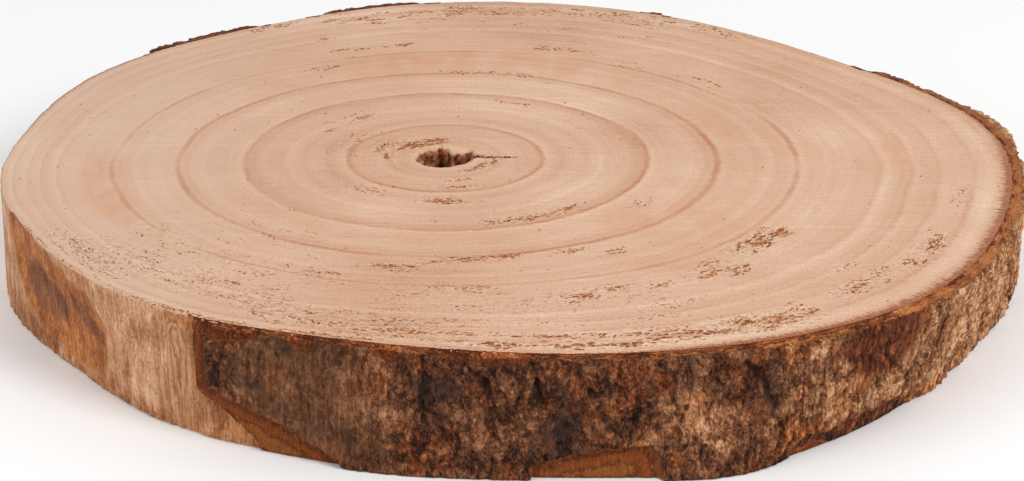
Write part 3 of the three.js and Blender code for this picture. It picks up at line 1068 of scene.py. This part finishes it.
def growth_lines(n, growth):
    """How dark the growth rings make the wood: thin late-wood lines with a soft band on their inner side."""
    total = 0.0
    for at, width, strength, band in GROWTH_RINGS:
        away = n.math("SUBTRACT", growth, at)
        line = n.times(n.step(n.math("ABSOLUTE", away), width * 1.4, width * 0.1), strength)
        soft = n.times(n.step(away, -band, 0.0), n.step(away, 1.2, 0.0), 0.5 * strength)
        total = n.math("ADD", total, n.math("ADD", line, soft))
    return total


def sawn_face(n):
    """The colour and the height of the sawn faces, without the hollow."""
    broad_bends = n.texture((24, 24, 30), 2)
    small_bends = n.texture((2.2, 2.2, 30), 3)
    growth = n.sum(n.read("growth"), (broad_bends, 2.4, 0.5), (small_bends, 1.2, 0.5))
    patchy = n.sum(0.75, (n.texture((20, 20, 40), 4), 2.6, 0.5))
    strength = n.sum(1.0, (n.read("faded"), -0.3, 0.0))
    lines = n.times(growth_lines(n, growth), patchy, strength)

    banding = n.noise(n.position((4.5, 1, 1), n.pair(growth)), 3)
    broad = n.texture((45, 45, 60), 4)
    grain = n.texture((0.4, 0.75, 0.5), 3, 0.75)
    saw = n.texture((26, 0.55, 30), 3, 0.6)
    saw_fine = n.texture((7, 0.28, 30))
    streak = n.sum(0.5, (saw, 0.6, 0.5), (saw_fine, 0.4, 0.5))
    shade = n.sum(0.5, (banding, 0.8, 0.5), (broad, 0.9, 0.5), (grain, 1.3, 0.5), (streak, -0.8, 0.5))
    face = n.ramp(shade, (0.15, 192, 142, 110), (0.4, 210, 167, 137), (0.6, 217, 177, 147),
                  (0.85, 232, 200, 174))
    face = n.mix(n.times(n.read("faded"), 0.5), face, colour(214, 184, 164))
    speckled = n.sum(n.texture((8, 16, 60), 2), (grain, 0.9, 0.5))
    warmth = n.times(n.read("orange"), n.step(speckled, 0.34, 0.64))
    face = n.mix(n.times(warmth, 0.6), face, colour(204, 142, 94))
    face = n.mix(n.math("MULTIPLY", lines, 0.6, clamp=True), face, colour(182, 114, 74))

    pores = n.step(n.voronoi(n.position((1.1, 0.8, 0.8))), 0.2, 0.08)
    face = n.mix(n.times(pores, 0.28), face, colour(158, 100, 66))
    torn = n.read("torn")
    marks = n.sum(n.texture((1.3, 1.1, 2), 4, 0.7), (torn, 0.08, 0.5))
    marks = n.times(n.step(torn, 0.02, 0.3), n.step(marks, 0.56, 0.66))
    face = n.mix(n.times(marks, 0.7), face, colour(178, 108, 62))
    # Painted highlights: near-white flecks among the torn grain, standing in for light caught by its raised
    # fibres.
    light = n.times(torn, n.step(n.noise(n.position((1.6, 1.1, 2), offset=5), 4, 0.65), 0.5, 0.64))
    face = n.mix(n.times(light, 0.6), face, colour(240, 216, 192))

    height = n.sum(streak, (marks, -0.9, 0.0), (grain, 0.5, 0.5))
    return rim_bristles(n, face), height, streak


def rim_bristles(n, face):
    """The sawn face with dark torn fibres along its edge, which reach further in beside the bark."""
    outward = n.read("growth")
    rim_place = n.pair(n.read("round"), outward)
    splinters = n.noise(n.position((0.5, 2.5, 1), rim_place), 4, 0.7)
    by_bark = n.read("fringe")
    teeth = n.sum(outward, (splinters, 5.0, 0.5), (by_bark, 1.0, 0.6))
    fringe = n.times(n.step(teeth, 122.5, 123.3), n.sum(0.4, (by_bark, 0.35, 0.0)))
    bristles = n.noise(n.position((0.35, 1.4, 1), rim_place), 3, 0.7)
    return n.mix(fringe, face, n.ramp(bristles, (0.3, 84, 38, 18), (0.5, 150, 80, 42), (0.7, 204, 138, 92)))


def hollow_colour_and_shade(n, hollow):
    """Crumbled brown wood, with painted shade that darkens it down the hollow and in the crack, and crumbs
    that are lighter where the bump raises them and darker between, partly their own colour and partly
    painted light and shade.
    """
    crumbs = n.texture((2.2, 2.2, 2.2), 5, 0.65)
    # Painted shade: the higher the hollow mark, the darker; the crumbs that also raise the bump add painted
    # light and shade.
    shade = n.sum(0.68, (crumbs, 3.0, 0.5), (hollow, -1.0, 0.5))
    brown = n.ramp(shade, (0.0, 34, 16, 9), (0.35, 98, 53, 30), (0.65, 162, 102, 67), (1.0, 214, 160, 122))
    return brown, crumbs


def bare_side(n):
    """The colour and the height of the side where the bark is gone."""
    fibre = n.texture((0.5, 0.5, 4.5), 4, 0.65)
    coarse = n.texture((2.4, 2.4, 14), 3)
    speckle = n.texture((0.6, 0.6, 0.9), 4, 0.75)
    broad = n.texture((12, 12, 9), 3)
    shade = n.sum(0.56, (fibre, 1.0, 0.5), (coarse, 0.7, 0.5), (speckle, 1.3, 0.5), (broad, 0.8, 0.5))
    tan = n.ramp(shade, (0.1, 142, 90, 56), (0.38, 178, 126, 88), (0.6, 203, 154, 117), (0.9, 230, 190, 157))
    pits = n.step(n.voronoi(n.position((1.8, 1.8, 2.4))), 0.19, 0.08)
    tan = n.mix(n.times(pits, 0.5), tan, colour(120, 72, 42))

    stained = n.times(n.read("stain"), n.step(n.texture((3, 3, 8), 4), 0.28, 0.6))
    rust = n.ramp(shade, (0.2, 102, 54, 24), (0.5, 150, 88, 43), (0.8, 192, 128, 76))
    tan = n.mix(stained, tan, rust)
    scar_mask = n.step(n.sum(n.read("scar"), (fibre, 1.1, 0.5), (speckle, 0.7, 0.5)), 0.3, 0.65)
    scar_tone = n.ramp(shade, (0.2, 100, 48, 16), (0.5, 156, 86, 36), (0.8, 200, 130, 68))
    tan = n.mix(n.times(scar_mask, 0.95), tan, scar_tone)
    core_mask = n.step(n.sum(n.read("core"), (fibre, 1.8, 0.5), (speckle, 1.0, 0.5)), 0.45, 0.85)
    core_tone = n.ramp(shade, (0.2, 60, 30, 19), (0.5, 102, 57, 34), (0.8, 150, 92, 54))
    tan = n.mix(n.times(core_mask, 0.85), tan, core_tone)

    strand_lines = n.step(n.texture((0.8, 0.8, 14), 3), 0.44, 0.6)
    tan = n.mix(n.times(n.read("strands"), strand_lines, 0.6), tan, colour(142, 86, 46))
    curl = n.read("curl")
    wander = n.texture((1.8, 1.8, 5), 3, 0.6)
    wound = n.math("SINE", n.sum(0.0, (curl, 4.4, 0.0), (wander, 9.0, 0.5), (fibre, 3.0, 0.5)))
    curl_tone = n.mix(n.step(wound, -1.0, 0.9), colour(134, 80, 42), colour(204, 150, 104))
    tan = n.mix(n.times(n.step(n.sum(curl, (wander, 3.0, 0.5)), 4.2, 2.0), 0.55), tan, curl_tone)
    near = n.step(n.sum(n.read("bark_near"), (fibre, 0.8, 0.5)), 0.3, 0.8)
    tan = n.mix(n.times(near, 0.8), tan, rust)
    return tan, n.sum(fibre, (pits, -0.5, 0.0), (speckle, 0.8, 0.5))


def wood_material():
    n = Nodes("sawn wood")
    side = n.read("side")
    on_face = n.math("SUBTRACT", 1.0, side)
    hollow = n.read("hollow")
    face, face_height, streak = sawn_face(n)
    # The hollow mark gives the hollow its crumbled brown and darkens it with depth as painted shade.
    pith, crumbs = hollow_colour_and_shade(n, hollow)
    tan, side_height = bare_side(n)
    face = n.mix(n.step(hollow, 0.1, 0.45), face, pith)
    n.plug(n.shader.inputs["Base Color"], n.mix(side, face, tan))
    n.plug(n.shader.inputs["Roughness"], n.sum(0.7, (streak, 0.2, 0.5)))
    n.shader.inputs["Specular IOR Level"].default_value = 0.25
    in_hollow = n.times(crumbs, hollow, 3.0)
    height = n.sum(in_hollow, (n.times(face_height, on_face), 1.0, 0.0),
                   (n.times(side_height, side), 2.4, 0.0))
    n.plug(n.shader.inputs["Normal"], n.bump(height, 0.17, 0.85))
    return n.material


def torn_material():
    n = Nodes("torn grain")
    tone = n.sum(n.read("tone"), (n.texture((0.4, 0.4, 0.4), 2), 1.2, 0.5))
    brown = n.ramp(tone, (0.0, 88, 44, 22), (0.45, 152, 90, 48), (1.0, 214, 154, 104))
    n.plug(n.shader.inputs["Base Color"], brown)
    n.shader.inputs["Roughness"].default_value = 0.85
    n.shader.inputs["Specular IOR Level"].default_value = 0.2
    return n.material


def bark_material():
    n = Nodes("bark")
    pale = n.read("pale")
    bent = n.shift(n.position((1, 1, 1)), n.position((6, 6, 6)), 3.0)
    crumpled = n.shift(bent, n.position((1.5, 1.5, 1.5)), 1.4)

    def field(wide, tall, detail, offset=0.0):
        return n.noise(n.position((wide, wide, tall), bent, offset), detail, 0.66)

    mottle = field(4.0, 5.5, 5)
    fine = field(1.0, 1.8, 5)
    grit = n.texture((0.45, 0.45, 0.7), 3, 0.7)
    flake_tone, flake_edge = n.flakes(n.position((1.5, 1.5, 2.6), crumpled))
    # The gaps between flakes: lowered in the bump, and painted darker as shade in outer_bark.
    gap = n.step(flake_edge, 0.08, 0.0)
    outer = outer_bark(n, field, mottle, fine, grit, flake_tone, gap)
    tone = n.mix(n.read("outer"), inner_bark(n, field), outer)

    across = n.read("across")
    cut_by = n.sum(across, (fine, 2.5, 0.5), (pale, -1.6, 0.2))
    tone = n.mix(n.step(cut_by, 2.5, 1.7), tone, cut_bark(n, across, pale))
    n.plug(n.shader.inputs["Base Color"], tone)
    n.plug(n.shader.inputs["Roughness"], n.sum(0.8, (fine, 0.3, 0.5)))
    n.shader.inputs["Specular IOR Level"].default_value = 0.12
    height = n.sum(fine, (mottle, 0.6, 0.5), (grit, 0.5, 0.5), (gap, -0.25, 0.0))
    n.plug(n.shader.inputs["Normal"], n.bump(height, 0.6, 0.9))
    return n.material


def outer_bark(n, field, mottle, fine, grit, flake_tone, gap):
    """Brown flakes, paler and upright in grain at the right, with redder, smoother and sooty patches, and
    painted light and shade: raised places of the relief lighter, creases, the gaps between flakes and the
    deepest hollows darker.
    """
    relief = n.read("relief")
    pale = n.read("pale")
    rusty = n.read("rusty")
    crease = n.read("crease")
    ripples = n.texture((0.9, 0.9, 8), 3)
    upright = n.sum(0.5, (n.texture((0.9, 0.9, 11), 4, 0.6), 1.3, 0.5), (fine, 0.6, 0.5),
                    (mottle, 0.7, 0.5))
    grained = n.times(pale, n.math("SUBTRACT", upright, 0.5))
    # Painted light and shade: the relief's raised places are lighter, and creases and the gaps between
    # flakes darker.
    shade = n.sum(0.37, (mottle, 0.8, 0.5), (fine, 0.95, 0.5), (grit, 0.7, 0.5), (n.read("tone"), 0.2, 0.5),
                  (flake_tone, 0.15, 0.5), (gap, -0.08, 0.3), (crease, -0.14, 0.3), (relief, 0.1, 0.0),
                  (pale, 0.42, 0.1), (grained, 0.9, 0.0))
    brown = n.ramp(shade, (0.0, 26, 12, 7), (0.2, 60, 33, 20), (0.42, 106, 65, 41), (0.62, 150, 101, 68),
                   (0.82, 192, 142, 103), (1.0, 218, 174, 134))
    rust = n.ramp(shade, (0.0, 32, 12, 5), (0.2, 80, 35, 15), (0.42, 134, 67, 31), (0.7, 186, 112, 60),
                  (1.0, 218, 154, 102))
    warm = n.step(n.sum(field(5, 7, 4, 11.0), (rusty, 0.32, 0.0)), 0.5, 0.7)
    tone = n.mix(n.times(warm, 0.65), brown, rust)
    weathered = n.ramp(upright, (0.2, 62, 37, 25), (0.5, 101, 65, 43), (0.8, 144, 99, 69))
    tone = n.mix(n.times(n.read("smooth"), 0.6), tone, weathered)
    sooty = n.sum(field(5.0, 6.0, 4, 17.0), (pale, -0.14, 0.3), (fine, 0.5, 0.5), (rusty, -0.2, 0.0),
                  (n.read("soot"), 0.14, 0.2))
    sooty = n.times(n.step(sooty, 0.57, 0.68), 0.6)
    tone = n.mix(sooty, tone, n.ramp(fine, (0.3, 34, 24, 21), (0.7, 84, 62, 52)))
    # Painted shade: near black in the deepest hollows of the relief, less where the bark is redder.
    recess_shade = n.times(n.step(relief, -0.5, -1.6), n.sum(0.6, (rusty, -0.4, 0.0)))
    tone = n.mix(recess_shade, tone, colour(34, 17, 10))
    raw = n.ramp(n.sum(0.4, (ripples, 1.8, 0.5), (fine, 1.2, 0.5)), (0.1, 42, 17, 10), (0.45, 90, 43, 23),
                 (0.8, 152, 86, 50))
    flaked = n.step(n.sum(n.read("flaked"), (fine, 1.4, 0.5)), 0.2, 0.6)
    return n.mix(n.times(flaked, 0.85), tone, raw)


def inner_bark(n, field):
    """Rust-brown inner bark, in soft bands that follow the outer bark's edge, the dark one close beside that
    edge being a painted shadow of it, with a darker top and foot.
    """
    fibre = n.texture((0.45, 0.45, 5), 4, 0.65)
    speckle = n.texture((0.7, 0.7, 0.9), 4, 0.7)
    from_edge = n.sum(n.read("bare_by"), (field(4, 4, 5), 4.0, 0.5), (speckle, 2.0, 0.5))
    # The dark stop at 0.1, about a millimetre past the outer bark's edge, is a painted shadow of that edge;
    # the other bands are the inner bark's own colour.
    skin = n.ramp(n.math("DIVIDE", from_edge, FAR), (0.0, 134, 74, 40), (0.1, 90, 43, 21),
                  (0.2, 120, 61, 28), (0.33, 132, 69, 31), (0.42, 98, 50, 24), (0.52, 140, 80, 38),
                  (0.75, 130, 73, 35), (0.9, 100, 56, 29))
    shade = n.sum(0.5, (fibre, 0.9, 0.5), (speckle, 1.0, 0.5))
    skin = n.mix(n.times(n.step(shade, 0.48, 0.2), 0.6), skin, colour(76, 36, 17))
    skin = n.mix(n.times(n.step(shade, 0.54, 0.85), 0.5), skin, colour(192, 126, 72))
    torn = n.ramp(n.sum(0.4, (speckle, 1.6, 0.5), (fibre, 1.0, 0.5)), (0.1, 52, 22, 12), (0.45, 104, 50, 25),
                  (0.8, 160, 90, 48))
    skin = n.mix(n.times(n.read("high"), 0.85), skin, torn)
    ragged = n.sum(n.read("to_foot"), (speckle, 3.0, 0.5))
    return n.mix(n.times(n.step(ragged, 1.5, 0.4), 0.7), skin, colour(84, 46, 25))


def cut_bark(n, across, pale):
    """The sawn top of the inner bark: rust fibres torn along the rim, dark between them, and a pale lip."""
    speckle = n.texture((0.5, 0.5, 0.8), 4, 0.75)
    fibres = n.noise(n.position((2.2, 0.5, 1), n.pair(n.read("round"), across)), 4, 0.6)
    patches = n.texture((6, 6, 6), 3)
    out = n.sum(across, (fibres, 2.0, 0.5), (patches, 2.4, 0.5))
    cut = n.ramp(n.math("DIVIDE", out, 3.0), (0.0, 124, 60, 28), (0.15, 100, 47, 22), (0.35, 152, 82, 40),
                 (0.5, 104, 51, 25), (0.62, 172, 104, 60), (0.74, 118, 66, 37), (1.0, 92, 54, 34))
    shade = n.sum(0.46, (speckle, 1.0, 0.5), (fibres, 1.0, 0.5), (patches, 0.8, 0.5), (pale, 0.16, 0.2))
    cut = n.mix(n.times(n.step(shade, 0.5, 0.34), 0.85), cut, colour(62, 28, 14))
    cut = n.mix(n.times(n.step(shade, 0.55, 0.7), 0.7), cut, colour(202, 126, 70))
    return n.mix(n.times(n.step(pale, 0.4, 1.0), n.step(out, 0.3, 1.2), 0.45), cut, colour(184, 118, 72))


# Stage, lights and camera

FLOOR_SIZE = 6000
FLOOR_LEVEL = -0.2
FLOOR_SHADE = 0.97
STUDIO_LIGHT = 0.72
# The round lights: where each stands and how wide it is, in metres, and its power in watts.
LIGHTS = {"key": ((0.95, -0.9, 0.85), 0.6, 12), "fill": ((-1.2, -0.8, 0.7), 1.0, 5)}
CAMERA_ELEVATION = 21.5
CAMERA_DISTANCE = 661.4
CAMERA_AIM = (16.5, -55.7)
FOCAL_PIXELS = 2900
IMAGE_WIDTH = 1024
SENSOR_WIDTH = 36


def stage():
    half = FLOOR_SIZE / 2
    square = [(0, 0), (1, 0), (1, 1), (0, 1)]
    corners = [((u * 2 - 1) * half, (v * 2 - 1) * half, FLOOR_LEVEL) for u, v in square]
    floor = make_mesh("floor", np.array(corners), [[0, 1, 2, 3]], {}, square)
    n = Nodes("floor")
    n.shader.inputs["Base Color"].default_value = (FLOOR_SHADE, FLOOR_SHADE, FLOOR_SHADE, 1)
    n.shader.inputs["Roughness"].default_value = 0.9
    floor.data.materials.append(n.material)


def studio():
    bpy.context.scene.view_settings.view_transform = "Standard"
    world = bpy.data.worlds.new("studio")
    bpy.context.scene.world = world
    world.use_nodes = True
    background = world.node_tree.nodes["Background"]
    background.inputs["Color"].default_value = (1, 1, 1, 1)
    background.inputs["Strength"].default_value = STUDIO_LIGHT
    for name, (at, size, power) in LIGHTS.items():
        area_light(name, at, size, power)


def area_light(name, at, size, power):
    """A round soft light at a place in metres, turned to the slice."""
    light = bpy.data.lights.new(name, "AREA")
    light.shape = "DISK"
    light.size = size
    light.energy = power
    lamp = bpy.data.objects.new(name, light)
    bpy.context.scene.collection.objects.link(lamp)
    lamp.location = at
    lamp.rotation_euler = (-Vector(at)).to_track_quat("-Z", "Y").to_euler()


def camera():
    data = bpy.data.cameras.new("camera")
    data.sensor_width = SENSOR_WIDTH
    data.lens = FOCAL_PIXELS / IMAGE_WIDTH * SENSOR_WIDTH
    data.clip_start = 0.01
    data.clip_end = 50
    eye = bpy.data.objects.new("camera", data)
    bpy.context.scene.collection.objects.link(eye)
    aim = Vector((PITH[0] + CAMERA_AIM[0], PITH[1] + CAMERA_AIM[1], THICKNESS)) * MM
    tilt = math.radians(CAMERA_ELEVATION)
    eye.location = aim + Vector((0, -math.cos(tilt), math.sin(tilt))) * CAMERA_DISTANCE * MM
    eye.rotation_euler = (math.pi / 2 - tilt, 0, 0)
    bpy.context.scene.camera = eye


stage()
studio()
camera()

wood = build_wood()
wood.data.materials.append(wood_material())
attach(wood, "root")
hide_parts("wood_slice")

bark = build_bark()
bark.data.materials.append(bark_material())
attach(bark, "root")
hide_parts("wood_slice")

torn_grain = build_torn_grain()
torn_grain.data.materials.append(torn_material())
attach(torn_grain, "root")
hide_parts("wood_slice")
